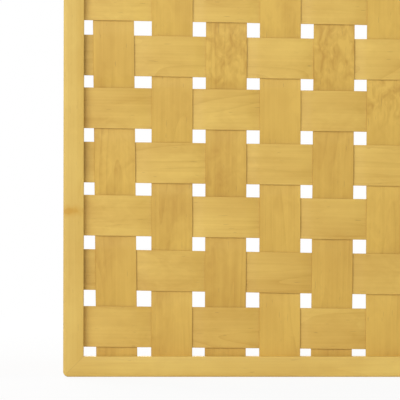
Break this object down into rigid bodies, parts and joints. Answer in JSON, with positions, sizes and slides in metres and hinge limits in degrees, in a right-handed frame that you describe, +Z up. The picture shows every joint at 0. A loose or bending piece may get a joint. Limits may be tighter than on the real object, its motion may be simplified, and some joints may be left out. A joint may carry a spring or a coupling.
{
  "type": "woven plywood folding screen",
  "caption": "Hinged folding screen with mitred wooden frames, each filled with wide thin plywood strips in an open plain weave that leaves small square gaps.",
  "frame": {"origin": "bottom centre of the screen as it stands, on the floor midway between the panels", "axes": "+Z up, +X to the right seen from the front, +Y to the back, where the hinges are"},
  "size_m": [0.8258, 0.2488, 1.644],
  "materials": {
    "cross_veneer": "clear satin lacquer over pale birch plywood, grain along the strip",
    "upright_veneer": "clear satin lacquer over pale birch plywood, grain along the strip",
    "frame_wood": "clear satin lacquer over pale solid wood, edges eased",
    "key_plywood": "bare plywood, hidden in the groove",
    "brass": "satin brass"
  },
  "bodies": {
    "left_panel": {"left_corner_keys": "key_plywood", "left_cross_strips_10_12": "cross_veneer", "left_cross_strips_13_15": "cross_veneer", "left_cross_strips_14_16": "cross_veneer", "left_cross_strips_17_19": "cross_veneer", "left_cross_strips_18_20": "cross_veneer", "left_cross_strips_1_3": "cross_veneer", "left_cross_strips_21_23": "cross_veneer", "left_cross_strips_22_24": "cross_veneer", "left_cross_strips_2_4": "cross_veneer", "left_cross_strips_5_7": "cross_veneer", "left_cross_strips_6_8": "cross_veneer", "left_cross_strips_9_11": "cross_veneer", "left_panel_bottom_rail": "frame_wood", "left_panel_left_stile": "frame_wood", "left_panel_right_stile": "frame_wood", "left_panel_top_rail": "frame_wood", "left_upright_strip_1": "upright_veneer", "left_upright_strip_2": "upright_veneer", "left_upright_strip_3": "upright_veneer", "left_upright_strip_4": "upright_veneer", "left_upright_strip_5": "upright_veneer", "left_upright_strip_6": "upright_veneer", "lower_hinge_left_leaf": "brass", "lower_hinge_pin": "brass", "middle_hinge_left_leaf": "brass", "middle_hinge_pin": "brass", "upper_hinge_left_leaf": "brass", "upper_hinge_pin": "brass"},
    "right_panel": {"lower_hinge_right_leaf": "brass", "middle_hinge_right_leaf": "brass", "right_corner_keys": "key_plywood", "right_cross_strips_10_12": "cross_veneer", "right_cross_strips_13_15": "cross_veneer", "right_cross_strips_14_16": "cross_veneer", "right_cross_strips_17_19": "cross_veneer", "right_cross_strips_18_20": "cross_veneer", "right_cross_strips_1_3": "cross_veneer", "right_cross_strips_21_23": "cross_veneer", "right_cross_strips_22_24": "cross_veneer", "right_cross_strips_2_4": "cross_veneer", "right_cross_strips_5_7": "cross_veneer", "right_cross_strips_6_8": "cross_veneer", "right_cross_strips_9_11": "cross_veneer", "right_panel_bottom_rail": "frame_wood", "right_panel_left_stile": "frame_wood", "right_panel_right_stile": "frame_wood", "right_panel_top_rail": "frame_wood", "right_upright_strip_1": "upright_veneer", "right_upright_strip_2": "upright_veneer", "right_upright_strip_3": "upright_veneer", "right_upright_strip_4": "upright_veneer", "right_upright_strip_5": "upright_veneer", "right_upright_strip_6": "upright_veneer", "upper_hinge_right_leaf": "brass"}
  },
  "joints": [
    {"name": "fold", "type": "hinge", "parent": "left_panel", "child": "right_panel", "pos_m": [0, -0.10329, 0.822], "axis": [0, 0, 1], "range_deg": [-60, 120]}
  ]
}
